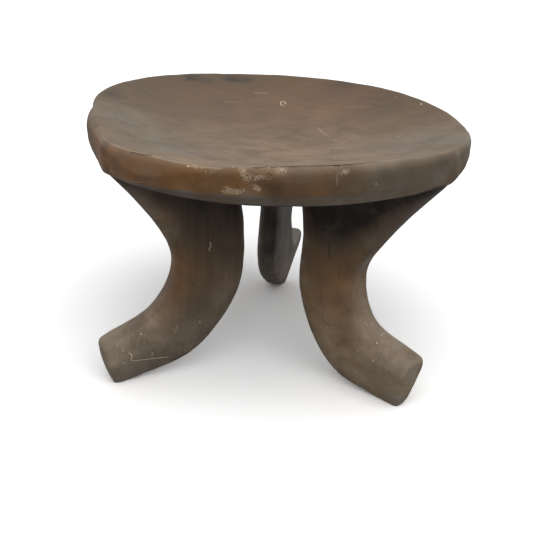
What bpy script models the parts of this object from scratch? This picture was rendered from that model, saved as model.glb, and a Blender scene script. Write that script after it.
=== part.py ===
"""Three-legged carved stool: a dished, slightly oval seat on three C-curved legs.

Metres, +Z up. The origin is on the floor under the middle of the whole stool, and the front faces -Y.
Each leg ends in a round stub tenon, which sits in a blind socket in the seat's belly.
"""
import math
from collections import namedtuple

import bmesh
import bpy
import numpy as np

# Gap between pieces that touch
CLEARANCE = 0.0003

# Where the planes of the three legs meet, and how far the seat is carved off that place
MIDDLE_X = -0.0045
MIDDLE_Y = -0.0040
SEAT_SHIFT_X = 0.0015
SEAT_SHIFT_Y = 0.0002

# Seat outline: a mean radius, an oval swell that is longest along its direction in degrees, and two smaller
# swells that the hand carving left, one with three tops round the rim and one with four
SEAT_RADIUS = 0.1683
OVAL_SWELL = 0.0106
OVAL_DIRECTION = -55.8
THREE_SWELL = 0.0035
THREE_DIRECTION = 4.5
FOUR_SWELL = 0.0009
FOUR_DIRECTION = -28.7

# Seat heights: the crest of the rim slopes and waves a little, and the lower edge slopes
CREST_HEIGHT = 0.2314
CREST_SLOPE_X = -0.0103
CREST_SLOPE_Y = -0.0219
CREST_SADDLE = 0.0028
SADDLE_DIRECTION = -65.6
CREST_WAVE = 0.0028
WAVE_DIRECTION = 40.0
RIM_THICKNESS = 0.0245
EDGE_SLOPE_X = 0.0040
EDGE_SLOPE_Y = -0.0013

# Rim section: a rounded crest, a face that leans in, and a lower band that leans in more and dies out above
# each leg; the band takes a share of the height below the widest line, and starts at a share of the inset
CREST_INSET = 0.0050
CREST_DROP = 0.0072
EDGE_INSET = 0.0010
BAND_INSET = 0.0088
BAND_SHARE = 0.45
BAND_LEAN = 0.35
BAND_DIRECTION = 82.0

# Hollow of the seat and the belly under it
DISH_DEPTH = 0.020
DISH_POWER = 2.2
BELLY_DEPTH = 0.016

# Round stub tenon on each leg
TENON_DIAMETER = 0.024
TENON_LENGTH = 0.011
TENON_REACH = 0.086
TENON_ROOT = 0.008

# Leg section: a rounded oblong, whose power sets how square its corners are
SECTION_POWER = 3.0
SOLE_CUT = 0.002
TOE_ROUND = 0.006

# Heights of the stations down a leg, as shares of its height: shoulder, waist, ankle or heel, and toe
OUTER_STATIONS = (0.71, 0.52, 0.335, 0.23)
INNER_STATIONS = (0.67, 0.38, 0.115, 0.0)

# Each leg: its direction in degrees, the offset of its plane from the middle, the side lean of its top, how
# far its flare stands past the seat's lower edge, the reach of its outer and inner edge at each station, its
# thickness at the seat, waist and toe, how far its heel and toe are lifted, and the share of its half
# thickness that is carved away under the toe on its left and right side
Leg = namedtuple("Leg", "name direction offset lean flare shoulder_out waist_out ankle_out toe_out "
                 "root_in shoulder_in waist_in heel_in toe_in seat_thick waist_thick toe_thick "
                 "heel_lift toe_lift keel_left keel_right")
LEGS = (
    Leg(name="front_left_leg", direction=199.6, offset=0.0048, lean=0.0, flare=0.0,
        shoulder_out=0.1055, waist_out=0.0918, ankle_out=0.1105, toe_out=0.155,
        root_in=0.036, shoulder_in=0.028, waist_in=0.0355, heel_in=0.076, toe_in=0.143,
        seat_thick=0.034, waist_thick=0.037, toe_thick=0.031,
        heel_lift=0.001, toe_lift=-0.003, keel_left=0.5, keel_right=0.3),
    Leg(name="front_right_leg", direction=318.6, offset=0.0041, lean=0.0, flare=0.004,
        shoulder_out=0.1225, waist_out=0.1005, ankle_out=0.1165, toe_out=0.159,
        root_in=0.036, shoulder_in=0.0435, waist_in=0.0415, heel_in=0.0705, toe_in=0.141,
        seat_thick=0.036, waist_thick=0.037, toe_thick=0.033,
        heel_lift=-0.001, toe_lift=0.003, keel_left=0.3, keel_right=0.5),
    Leg(name="rear_leg", direction=83.0, offset=0.0040, lean=-0.006, flare=0.002,
        shoulder_out=0.116, waist_out=0.098, ankle_out=0.119, toe_out=0.176,
        root_in=0.044, shoulder_in=0.046, waist_in=0.042, heel_in=0.086, toe_in=0.172,
        seat_thick=0.030, waist_thick=0.032, toe_thick=0.034,
        heel_lift=0.014, toe_lift=0.014, keel_left=0.3, keel_right=0.9),
)

# How finely the surfaces are divided
RIM_POINTS = 96
SECTION_POINTS = 28
LEG_RINGS = 26
ROUND_POINTS = 32
DISH_SHARES = (0.12, 0.3, 0.48, 0.64, 0.78, 0.9)
BELLY_SHARES = (0.92, 0.78, 0.6, 0.4, 0.2)
CREST_ANGLES = (0.0, 30.0, 60.0, 90.0)
CAP_SHARES = (0.3, 0.66)

WOOD_COLOUR = (0.115, 0.078, 0.052, 1.0)
WOOD_ROUGHNESS = 0.55


def clear_scene():
    for old in list(bpy.data.objects):
        bpy.data.objects.remove(old, do_unlink=True)


def wood_material(name):
    """Dark oiled hardwood."""
    material = bpy.data.materials.new(name)
    material.use_nodes = True
    shader = material.node_tree.nodes["Principled BSDF"]
    shader.inputs["Base Color"].default_value = WOOD_COLOUR
    shader.inputs["Roughness"].default_value = WOOD_ROUGHNESS
    shader.inputs["Metallic"].default_value = 0.0
    return material


def seat_middle():
    return MIDDLE_X + SEAT_SHIFT_X, MIDDLE_Y + SEAT_SHIFT_Y


def swell(angle, tops, height, direction):
    """Wave round the rim with a number of tops, one of them at the direction in degrees."""
    return height * np.cos(tops * (angle - math.radians(direction)))


def outline_radius(angle):
    """Distance from the seat's middle to its widest line, at an angle in radians."""
    oval = swell(angle, 2, OVAL_SWELL, OVAL_DIRECTION)
    hand = swell(angle, 3, THREE_SWELL, THREE_DIRECTION) + swell(angle, 4, FOUR_SWELL, FOUR_DIRECTION)
    return SEAT_RADIUS + oval + hand


def band_inset(angle):
    """Inset of the lower edge: full between the legs and nothing above them."""
    turn = 3 * (angle - math.radians(BAND_DIRECTION))
    return EDGE_INSET + BAND_INSET * (1 - np.cos(turn)) / 2


def lower_edge_radius(angle):
    return outline_radius(angle) - band_inset(angle)


def crest_height(x, y, angle, share):
    """Height of the crest surface, sloped and waved, at a share of the way out to the rim."""
    wave = swell(angle, 2, CREST_SADDLE, SADDLE_DIRECTION) + swell(angle, 3, CREST_WAVE, WAVE_DIRECTION)
    return CREST_HEIGHT + CREST_SLOPE_X * x + CREST_SLOPE_Y * y + wave * share ** 2


def edge_height(x, y):
    return CREST_HEIGHT - RIM_THICKNESS + EDGE_SLOPE_X * x + EDGE_SLOPE_Y * y


def belly_height(x, y):
    """Height of the seat's underside: a shallow bowl that hangs from the lower edge."""
    middle_x, middle_y = seat_middle()
    across = x - middle_x
    along = y - middle_y
    share = np.hypot(across, along) / lower_edge_radius(np.arctan2(along, across))
    return edge_height(x, y) - BELLY_DEPTH * (1 - np.minimum(share, 1.0) ** 2)


def skin(name, start, rings, end, material):
    """Closed mesh object over rings of equal count, with a fan from each end ring to its end point."""
    shape = bmesh.new()
    loops = [[shape.verts.new(point) for point in ring] for ring in rings]
    count = len(rings[0])
    for near, far in zip(loops, loops[1:]):
        for i in range(count):
            j = (i + 1) % count
            shape.faces.new((near[i], near[j], far[j], far[i]))
    for loop, point in ((loops[0], start), (loops[-1], end)):
        tip = shape.verts.new(point)
        for i in range(count):
            shape.faces.new((tip, loop[i], loop[(i + 1) % count]))
    bmesh.ops.recalc_face_normals(shape, faces=shape.faces)
    return mesh_object(name, shape, material)


def mesh_object(name, shape, material=None):
    mesh = bpy.data.meshes.new(name)
    shape.to_mesh(mesh)
    shape.free()
    mesh.shade_smooth()
    mesh.set_sharp_from_angle(angle=math.radians(35))
    piece = bpy.data.objects.new(name, mesh)
    bpy.context.collection.objects.link(piece)
    if material:
        mesh.materials.append(material)
    return piece


def round_form(name, radius, low, high, x, y):
    """Hidden upright cylinder between two heights, used to cut a socket or to add a tenon."""
    shape = bmesh.new()
    bmesh.ops.create_cone(shape, cap_ends=True, segments=ROUND_POINTS, radius1=radius, radius2=radius,
                          depth=high - low)
    form = mesh_object(name, shape)
    form.location = (x, y, (low + high) / 2)
    form.hide_render = True
    form.display_type = "WIRE"
    return form


def combine(piece, form, operation):
    """Adds or cuts a form with an exact Boolean."""
    step = piece.modifiers.new(form.name, "BOOLEAN")
    step.operation = operation
    step.solver = "EXACT"
    step.object = form


def seat_rings():
    """Rings of the seat from the middle of the dish, over the crest and down the rim, to the belly."""
    angle = np.linspace(0, 2 * math.pi, RIM_POINTS, endpoint=False)
    middle_x, middle_y = seat_middle()
    outline = outline_radius(angle)
    crest_radius = outline - CREST_INSET

    def ring(radius, height):
        x = middle_x + radius * np.cos(angle)
        y = middle_y + radius * np.sin(angle)
        return np.column_stack((x, y, height(x, y)))

    rings = []
    for share in DISH_SHARES:
        hollow = DISH_DEPTH * (1 - share ** DISH_POWER)
        rings.append(ring(crest_radius * share, lambda x, y: crest_height(x, y, angle, share) - hollow))
    for turn in np.radians(CREST_ANGLES):
        drop = CREST_DROP * (1 - math.cos(turn))
        rings.append(ring(outline - CREST_INSET * (1 - math.sin(turn)),
                          lambda x, y: crest_height(x, y, angle, 1.0) - drop))
    widest = rings[-1]
    edge = ring(outline - band_inset(angle), edge_height)
    band = widest + (edge - widest) * (BAND_LEAN, BAND_LEAN, 1 - BAND_SHARE)
    rings += [band, edge]
    for share in BELLY_SHARES:
        rings.append(ring((outline - band_inset(angle)) * share, belly_height))
    return rings


def make_seat(material):
    x, y = seat_middle()
    hollow_middle = (x, y, CREST_HEIGHT + CREST_SLOPE_X * x + CREST_SLOPE_Y * y - DISH_DEPTH)
    return skin("seat", hollow_middle, seat_rings(), (x, y, belly_height(x, y)), material)


def spline(points, share):
    """Smooth curve through evenly numbered points, read at shares from 0 to 1."""
    points = np.asarray(points, float)
    last = len(points) - 1
    place = np.clip(np.asarray(share) * last, 0, last - 1e-9)
    index = place.astype(int)
    part = (place - index).reshape((-1,) + (1,) * (points.ndim - 1))
    before = 2 * points[0] - points[1]
    after = 2 * points[-1] - points[-2]
    run = np.concatenate(([before], points, [after]))
    a, b, c, d = (run[index + k] for k in range(4))
    return b + 0.5 * part * (c - a + part * (2 * a - 5 * b + 4 * c - d + part * (3 * (b - c) + d - a)))


def leg_place(leg):
    """World position of the leg's own zero, and its direction as a pair."""
    angle = math.radians(leg.direction)
    along = np.array((math.cos(angle), math.sin(angle)))
    aside = np.array((-along[1], along[0]))
    return np.array((MIDDLE_X, MIDDLE_Y)) + leg.offset * aside, along, aside


def to_world(leg, reach, side):
    """World X and Y of a point given by its reach along the leg's plane and its side step from it."""
    zero, along, aside = leg_place(leg)
    x = zero[0] + reach * along[0] + side * aside[0]
    y = zero[1] + reach * along[1] + side * aside[1]
    return x, y


def flare_reach(leg):
    """Reach of the leg's outer edge at the seat, found by walking to the seat's lower edge."""
    middle_x, middle_y = seat_middle()
    reach = SEAT_RADIUS
    for _ in range(8):
        x, y = to_world(leg, reach, 0.0)
        angle = math.atan2(y - middle_y, x - middle_x)
        reach += lower_edge_radius(angle) + leg.flare - math.hypot(x - middle_x, y - middle_y)
    return reach


def leg_edges(leg):
    """Outer and inner edge of the leg as (reach, height) stations, and its half thickness at each."""
    flare = flare_reach(leg)
    top = belly_height(*to_world(leg, flare, 0.0))
    outer = [(flare, top)]
    reaches = (leg.shoulder_out, leg.waist_out, leg.ankle_out, leg.toe_out)
    lifts = (0.0, 0.0, 0.0, leg.toe_lift)
    for reach, share, lift in zip(reaches, OUTER_STATIONS, lifts):
        outer.append((reach, share * top + lift))
    inner = [(leg.root_in, belly_height(*to_world(leg, leg.root_in, 0.0)))]
    reaches = (leg.shoulder_in, leg.waist_in, leg.heel_in, leg.toe_in)
    lifts = (0.0, 0.0, leg.heel_lift, -SOLE_CUT)
    for reach, share, lift in zip(reaches, INNER_STATIONS, lifts):
        inner.append((reach, share * top + lift))
    seat, waist, toe = leg.seat_thick / 2, leg.waist_thick / 2, leg.toe_thick / 2
    half = (seat, (seat + waist) / 2, waist, (waist + toe) / 2, toe)
    return outer, inner, half


def leg_rings(leg):
    """Rings of the leg in its own frame: X along its plane, Y across it."""
    outer, inner, half = leg_edges(leg)
    share = np.linspace(0, 1, LEG_RINGS)
    outer = spline(outer, share)
    inner = spline(inner, share)
    half = spline(half, share)
    turn = np.linspace(0, 2 * math.pi, SECTION_POINTS, endpoint=False)
    power = 2 / SECTION_POWER
    deep = np.sign(np.cos(turn)) * np.abs(np.cos(turn)) ** power
    wide = np.sign(np.sin(turn)) * np.abs(np.sin(turn)) ** power
    lean = leg.lean * np.clip(1 - 2 * share, 0, 1)
    under = np.where(wide > 0, leg.keel_left, leg.keel_right) * (1 - deep) / 2
    rings = []
    for out, into, width, step, grow in zip(outer, inner, half, lean, np.clip(2 * share - 1, 0, 1)):
        edge = (out + into) / 2 + deep[:, None] * (out - into) / 2
        side = step + wide * width * (1 - grow * under)
        rings.append(np.column_stack((edge[:, 0], side, edge[:, 1])))
    return rings


def seated(leg, ring):
    """The ring with its heights set just under the seat's belly."""
    x, y = to_world(leg, ring[:, 0], ring[:, 1])
    return np.column_stack((ring[:, 0], ring[:, 1], belly_height(x, y) - CLEARANCE))


def rounded_toe(rings):
    """Two smaller rings past the toe's last one, which round its end over."""
    last = rings[-1]
    middle = last.mean(axis=0)
    ahead = middle - rings[-2].mean(axis=0)
    ahead = ahead / np.linalg.norm(ahead)
    size = np.ptp(last, axis=0).max()
    ends = []
    for turn in np.radians((45.0, 90.0)):
        shrink = 1 - 2 * TOE_ROUND * (1 - math.cos(turn)) / size
        ends.append(middle + (last - middle) * shrink + ahead * TOE_ROUND * math.sin(turn))
    return ends, ends[-1].mean(axis=0)


def flatten_sole(piece):
    """Cuts the toe flat where it stands on the floor."""
    shape = bmesh.new()
    shape.from_mesh(piece.data)
    everything = shape.verts[:] + shape.edges[:] + shape.faces[:]
    bmesh.ops.bisect_plane(shape, geom=everything, dist=1e-7, plane_co=(0, 0, 0), plane_no=(0, 0, 1),
                           clear_inner=True)
    rim = [edge for edge in shape.edges if edge.is_boundary]
    bmesh.ops.contextual_create(shape, geom=rim)
    bmesh.ops.recalc_face_normals(shape, faces=shape.faces)
    shape.to_mesh(piece.data)
    shape.free()


def make_leg(leg, seat, material):
    rings = leg_rings(leg)
    rings[0] = seated(leg, rings[0])
    tenon = np.array((TENON_REACH, leg.lean, 0.0))
    cap = [seated(leg, tenon + (rings[0] - tenon) * share) for share in CAP_SHARES]
    crown = seated(leg, tenon[None, :])[0]
    toe_rings, tip = rounded_toe(rings)
    piece = skin(leg.name, crown, cap + rings + toe_rings, tip, material)
    flatten_sole(piece)
    zero, _, _ = leg_place(leg)
    piece.location = (zero[0], zero[1], 0)
    piece.rotation_euler = (0, 0, math.radians(leg.direction))

    x, y = to_world(leg, TENON_REACH, leg.lean)
    seat_face = belly_height(x, y)
    tenon_top = seat_face + TENON_LENGTH
    radius = TENON_DIAMETER / 2
    form = round_form(leg.name + "_tenon_form", radius, seat_face - TENON_ROOT, tenon_top, x, y)
    socket = round_form(leg.name + "_socket_form", radius + CLEARANCE, seat_face - TENON_ROOT,
                        tenon_top + CLEARANCE, x, y)
    combine(piece, form, "UNION")
    combine(seat, socket, "DIFFERENCE")
    return piece


def main():
    clear_scene()
    stool = bpy.data.objects.new("stool", None)
    bpy.context.collection.objects.link(stool)
    seat = make_seat(wood_material("seat_wood"))
    seat.parent = stool
    for leg in LEGS:
        piece = make_leg(leg, seat, wood_material(leg.name + "_wood"))
        piece.parent = stool


main()
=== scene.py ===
# %% [markdown]
# A carved three-legged stool. The real one is cut from dark hardwood with an adze and a knife: an oval seat
# hollowed like a shallow dish, on three legs that flare out to the rim, draw in to a waist and splay out to
# blunt toes. The solids already hold the sizes, so this lesson gives them their carved skin, their wood and
# the wear of years of sitting. Every surface is a formula on a grid, because hand carving is smooth enough to
# be written down and uneven enough to need many points.

# %% Load the solids as a fixed frame
import math

import bpy
import numpy as np
from mathutils import Matrix, Vector
from mathutils.bvhtree import BVHTree


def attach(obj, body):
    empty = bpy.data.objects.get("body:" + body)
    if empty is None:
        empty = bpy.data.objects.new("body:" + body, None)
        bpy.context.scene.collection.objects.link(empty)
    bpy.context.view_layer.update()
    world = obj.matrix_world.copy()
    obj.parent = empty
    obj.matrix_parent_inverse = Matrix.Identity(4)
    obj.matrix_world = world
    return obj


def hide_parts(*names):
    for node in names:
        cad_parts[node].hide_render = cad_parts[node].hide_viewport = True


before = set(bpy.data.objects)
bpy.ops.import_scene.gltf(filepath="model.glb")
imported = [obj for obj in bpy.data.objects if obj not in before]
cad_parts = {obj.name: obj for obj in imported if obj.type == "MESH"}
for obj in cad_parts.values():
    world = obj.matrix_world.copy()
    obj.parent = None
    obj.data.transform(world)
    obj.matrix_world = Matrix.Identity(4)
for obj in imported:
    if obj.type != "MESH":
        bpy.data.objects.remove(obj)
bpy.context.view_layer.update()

# %% [markdown]
# The camera comes first, because marks of wear, and spots of painted light and shade, are placed by where
# they show in the picture. It stands one metre in front of the stool and half a metre up, tilted down, with a
# long lens. A point of the picture can then be followed along its ray until it touches the wood.

# %% Camera
# The picture is in pixels, the sensor in millimetres, the place in metres and the angles in radians
PHOTO_SIDE = 550
FOCAL_PIXELS = 1191.0
SENSOR_WIDTH = 36.0
CAMERA_PLACE = Vector((-0.0045, -1.0040, 0.5065))
CAMERA_PITCH = 0.4015
CAMERA_YAW = -0.0053
CAMERA_ROLL = 0.0101

lens = bpy.data.cameras.new("photo_camera")
lens.sensor_fit = "HORIZONTAL"
lens.sensor_width = SENSOR_WIDTH
lens.lens = SENSOR_WIDTH * FOCAL_PIXELS / PHOTO_SIDE
camera = bpy.data.objects.new("photo_camera", lens)
camera_turn = (Matrix.Rotation(CAMERA_YAW, 4, "Z") @ Matrix.Rotation(math.pi / 2 - CAMERA_PITCH, 4, "X")
               @ Matrix.Rotation(CAMERA_ROLL, 4, "Z"))
camera.matrix_world = Matrix.Translation(CAMERA_PLACE) @ camera_turn
bpy.context.scene.collection.objects.link(camera)
bpy.context.scene.camera = camera


def touch(skin, pixel):
    """Point of the skin under a picture point: the ray from the camera through that pixel, to its first hit.
    A ray that just passes the edge takes the skin's point nearest to it, where it passes the middle."""
    across, down = pixel
    middle = PHOTO_SIDE / 2
    ray = Vector(((across - middle) / FOCAL_PIXELS, (middle - down) / FOCAL_PIXELS, -1.0))
    ray = (camera_turn.to_3x3() @ ray).normalized()
    place = skin.ray_cast(CAMERA_PLACE, ray)[0]
    if place is None:
        place = skin.find_nearest(CAMERA_PLACE - ray * CAMERA_PLACE.dot(ray))[0]
    return np.array(place)


print("lens:", round(lens.lens, 2), "mm")

# %% [markdown]
# Carved wood is all soft curves, and two of them do most of the work here: a smooth step and a bell curve.
# The slow waves that an adze leaves are a sum of plane waves, because such a sum never repeats. Their
# directions are random but seeded, so that every run carves the same stool.

# %% Curves and waves
MM = 0.001
TINY = 1e-12
WAVE_COUNT = 24
WAVE_SPREAD = (0.7, 1.4)


def smooth(low, high, value):
    """Smooth step: 0 below low, 1 above high, and 3t^2 - 2t^3 between."""
    t = np.clip((np.asarray(value, float) - low) / (high - low), 0, 1)
    return t * t * (3 - 2 * t)


def hill(value, middle, width):
    """Bell curve: 1 at the middle, falling off over the width."""
    return np.exp(-(((np.asarray(value, float) - middle) / width) ** 2))


def near(points, place, width):
    """Bell curve of the distance from a place in space."""
    return hill(np.linalg.norm(points - place, axis=-1), 0, width)


def carved_waves(points, length, seed):
    """Sum of plane waves of about one length, with random directions and phases: value about -1 to 1."""
    draw = np.random.default_rng(seed)
    way = draw.normal(size=(WAVE_COUNT, 3))
    way /= np.linalg.norm(way, axis=1)[:, None]
    way *= 2 * math.pi / (length * draw.uniform(*WAVE_SPREAD, WAVE_COUNT))[:, None]
    phase = draw.uniform(0, 2 * math.pi, WAVE_COUNT)
    return np.cos(points @ way.T + phase).sum(axis=-1) * math.sqrt(2 / WAVE_COUNT) / 2


print("half of a smooth step:", float(smooth(0, 1, 0.5)))

# %% [markdown]
# All four pieces are skins over rings: a grid whose columns go round and whose rows go from one end to the
# other, closed by a fan at each end. These helpers find the normals of such a grid and turn it into a mesh,
# or into a tree that rays can be cast at.


# %% Grids
def grid_normals(points):
    """Outward normals of a ring grid: the cross product of its steps round and along."""
    around = np.roll(points, -1, axis=1) - np.roll(points, 1, axis=1)
    along = np.gradient(points, axis=0)
    cross = np.cross(along, around)
    return cross / np.maximum(np.linalg.norm(cross, axis=-1, keepdims=True), TINY)


def ring_faces(rows, columns):
    """Quads between the rings of a grid, and a fan of triangles at each end; the end points come last."""
    index = np.arange(rows * columns).reshape(rows, columns)
    side = np.roll(index, -1, axis=1)
    quads = np.stack((index[:-1], index[1:], side[1:], side[:-1]), axis=-1).reshape(-1, 4)
    first, last = rows * columns, rows * columns + 1
    start = np.stack((np.full(columns, first), index[0], side[0]), axis=-1)
    end = np.stack((np.full(columns, last), side[-1], index[-1]), axis=-1)
    return quads.tolist() + start.tolist() + end.tolist()


def all_points(grid):
    """Points of the grid row by row, then the mean of its first ring and the mean of its last."""
    return np.vstack((grid.reshape(-1, 3), grid[0].mean(axis=0), grid[-1].mean(axis=0)))


def skin_of(grid):
    """The grid as a tree that rays can be cast at."""
    return BVHTree.FromPolygons(all_points(grid).tolist(), ring_faces(*grid.shape[:2]))


def add_piece(name, grid, layers):
    """Mesh object over a ring grid, with one float attribute on its points for each layer of wear."""
    rows, columns = grid.shape[:2]
    mesh = bpy.data.meshes.new(name)
    mesh.from_pydata(all_points(grid).tolist(), [], ring_faces(rows, columns))
    mesh.shade_smooth()
    for key, value in layers.items():
        flat = value.ravel()
        full = np.concatenate((flat, (flat[:columns].mean(), flat[-columns:].mean())))
        layer = mesh.attributes.new(key, "FLOAT", "POINT")
        layer.data.foreach_set("value", full.astype(np.float32))
    piece = bpy.data.objects.new(name, mesh)
    bpy.context.scene.collection.objects.link(piece)
    mesh.calc_loop_triangles()
    print(name, "triangles:", len(mesh.loop_triangles))
    return piece


print("smallest closed grid has", len(ring_faces(2, 3)), "faces")

# %% [markdown]
# The seat's plan is an oval with two smaller swells, as a hand leaves them, and its crest line rises and
# falls a few millimetres. Its broad sizes are close to the solid's. The rim then gets what carving and years
# of use leave on it: a notch, flats, a bevel at the front left, lips over the front legs' tips, and a crest
# that is crisp in one place and broad in another. Everything under the seat hangs from its lower edge, so the
# belly's height is a function that the legs use too.

# %% Plan and heights of the seat
# Lengths are in metres and directions in degrees, from +X towards +Y
MIDDLE = np.array((-0.0045, -0.0040))
SEAT_SHIFT = np.array((0.0015, 0.0002))
SEAT_MIDDLE = MIDDLE + SEAT_SHIFT
SEAT_RADIUS = 0.1683
CREST_HEIGHT = 0.2314
CREST_SLOPE = (-0.0103, -0.0219)
RIM_THICKNESS = 0.0251
EDGE_SLOPE = (0.0040, -0.0013)
EDGE_INSET = 0.0010
BAND_INSET = 0.0088
BAND_DIRECTION = 82.0
LEG_COUNT = 3
BELLY_DEPTH = 0.016
LIP_POWER = 12
BEVEL_RISE = 0.0038
# Each wave is a number of tops, a height and a direction
SWELLS = ((2, 0.0106, -55.8), (3, 0.0035, 4.5), (4, 0.0009, -28.7))
CREST_WAVES = ((2, 0.0028, -65.6), (3, 0.0028, 40.0))
# Each mark along the rim is an amount, a direction and a width in degrees
DENTS = ((0.0030, 169.0, 5.5), (0.0022, 358.0, 12.0), (0.0014, 196.0, 8.0), (-0.0014, 209.0, 4.0))
FULLER_EDGE = ((0.36, 352.0, 24.0),)
LIPS = ((0.0028, 206.0, 15.0), (0.0032, 325.0, 4.8))
ROLLS = ((-0.60, 234.0, 26.0), (-0.40, 345.0, 22.0), (0.70, 184.0, 16.0))
BEVEL = ((1.0, 231.0, 14.0),)


def swells(angle, waves):
    """Sum of height x cos(tops x (angle - direction))."""
    return sum(height * np.cos(tops * (angle - math.radians(way))) for tops, height, way in waves)


def turned(angle, way):
    """Turn from a direction to an angle in degrees, the short way round."""
    return (np.degrees(angle) - way + 180) % 360 - 180


def along_rim(angle, marks):
    """Sum of the marks' bell curves: each is its amount at its direction, and falls off over its width."""
    return sum(amount * hill(turned(angle, way), 0, width) for amount, way, width in marks)


def outline_radius(angle):
    """Plan radius of the rim, less the places where wood was knocked or carved off."""
    return SEAT_RADIUS + swells(angle, SWELLS) - along_rim(angle, DENTS)


def band_inset(angle):
    """Inset of the lower edge: full between the legs and nothing above them, less beside the right leg."""
    inset = BAND_INSET * (1 - np.cos(LEG_COUNT * (angle - math.radians(BAND_DIRECTION)))) / 2
    return EDGE_INSET + inset * (1 - along_rim(angle, FULLER_EDGE))


def crest_height(x, y, angle, share):
    """A level and a slope, and waves that grow with the square of the share of the way out to the crest."""
    wave = (swells(angle, CREST_WAVES) + BEVEL_RISE * along_rim(angle, BEVEL)) * share ** 2
    return CREST_HEIGHT + CREST_SLOPE[0] * x + CREST_SLOPE[1] * y + wave


def edge_height(x, y):
    """Height of the rim's lower edge: a level and a slope."""
    return CREST_HEIGHT - RIM_THICKNESS + EDGE_SLOPE[0] * x + EDGE_SLOPE[1] * y


def belly_place(x, y):
    """Direction from the seat's middle, and the distance as a share of the way to the lower edge."""
    across, along = x - SEAT_MIDDLE[0], y - SEAT_MIDDLE[1]
    angle = np.arctan2(along, across)
    return angle, np.hypot(across, along) / (outline_radius(angle) - band_inset(angle))


def belly_height(x, y):
    """Lower edge's height, less a bowl of the belly's depth and the lip, which fades quickly inwards."""
    angle, share = belly_place(x, y)
    share = np.minimum(share, 1.0)
    lip = along_rim(angle, LIPS) * share ** LIP_POWER
    return edge_height(x, y) - BELLY_DEPTH * (1 - share ** 2) - lip


print("rim:", round(float(2 * SEAT_RADIUS / MM)), "mm across on average")

# %% [markdown]
# The seat is one closed skin. Its rows start in the middle of the dish, climb to the crest, roll over it, run
# down the leaning face and the lower band, and come back to the middle under the belly. Rows are close where
# the rim turns. Two passes of a weighted mean of three rows take the machine sharpness off its edges.

# %% Seat skin
SEAT_COLUMNS = 480
DISH_ROWS = 65
CREST_ROWS = 12
FACE_ROWS = 11
BAND_ROWS = 10
BELLY_ROWS = 43
POLE_SHARE = 0.015
DISH_DEPTH = 0.020
DISH_POWER = 2.2
CREST_INSET = 0.0050
CREST_DROP = 0.0072
BEVEL_INSET = 0.0040
BEVEL_DROP = 0.0140
BAND_SHARE = 0.38
BAND_LEAN = 0.18
BELLY_SPACING = 1.6
EDGE_PASSES = 2
seat_turn = np.linspace(0, 2 * math.pi, SEAT_COLUMNS, endpoint=False)[None, :]
outline = outline_radius(seat_turn)
lower_edge = outline - band_inset(seat_turn)


def seat_ring(radius, height):
    """Rows of points at a radius, each with the height that a function of x and y gives."""
    x = SEAT_MIDDLE[0] + radius * np.cos(seat_turn)
    y = SEAT_MIDDLE[1] + radius * np.sin(seat_turn)
    return np.stack((x, y, height(x, y)), axis=-1)


def top_rings():
    """The dish, a power curve of the share of the way out, and the crest, a quarter round that turns into a
    straight slope where the rim is bevelled."""
    roll = 1 + along_rim(seat_turn, ROLLS)
    bevel = along_rim(seat_turn, BEVEL)
    inset = CREST_INSET * roll + BEVEL_INSET * bevel
    share = np.linspace(POLE_SHARE, 1, DISH_ROWS, endpoint=False)[:, None]
    hollow = DISH_DEPTH * (1 - share ** DISH_POWER)
    dish = seat_ring((outline - inset) * share, lambda x, y: crest_height(x, y, seat_turn, share) - hollow)
    step = np.linspace(0, 1, CREST_ROWS)[:, None]
    out, down = np.sin(step * math.pi / 2), 1 - np.cos(step * math.pi / 2)
    out, down = out + (step - out) * bevel, down + (step - down) * bevel
    drop = (CREST_DROP * roll + BEVEL_DROP * bevel) * down
    crest = seat_ring(outline - inset * (1 - out), lambda x, y: crest_height(x, y, seat_turn, 1.0) - drop)
    return np.concatenate((dish, crest))


def under_rings(widest):
    """Straight face and band from the widest ring down to the lower edge, then the belly to the middle."""
    edge = seat_ring(lower_edge, belly_height)
    band_top = widest + (edge - widest) * np.array((BAND_LEAN, BAND_LEAN, 1 - BAND_SHARE))
    face = widest + (band_top - widest) * np.linspace(0, 1, FACE_ROWS + 2)[1:-1, None, None]
    band = band_top + (edge - band_top) * np.linspace(0, 1, BAND_ROWS)[:, None, None]
    share = 1 - (1 - POLE_SHARE) * np.linspace(0, 1, BELLY_ROWS + 1)[1:, None] ** BELLY_SPACING
    belly = seat_ring(lower_edge * share, belly_height)
    return np.concatenate((face, band, belly))


seat_points = top_rings()
seat_points = np.concatenate((seat_points, under_rings(seat_points[-1:])))
for _ in range(EDGE_PASSES):
    seat_points[1:-1] = (seat_points[:-2] + 2 * seat_points[1:-1] + seat_points[2:]) / 4
print("seat grid:", seat_points.shape[:2])

# %% [markdown]
# A leg is a rounded oblong carried along two curves: its outer edge, which makes the C, and its inner edge.
# Both curves are smooth splines through five stations in the leg's own upright plane. The foot's underside is
# pared away to the sides, and the sole is worn flat where it stands. Each leg has its own sizes, because no
# two legs cut by eye come out alike.

# %% Leg sizes
# Heights of the stations below the seat, as shares of the lower edge's height
STATIONS_OUT = (0.71, 0.52, 0.335, 0.23)
STATIONS_IN = (0.67, 0.38, 0.115, 0.0)
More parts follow.
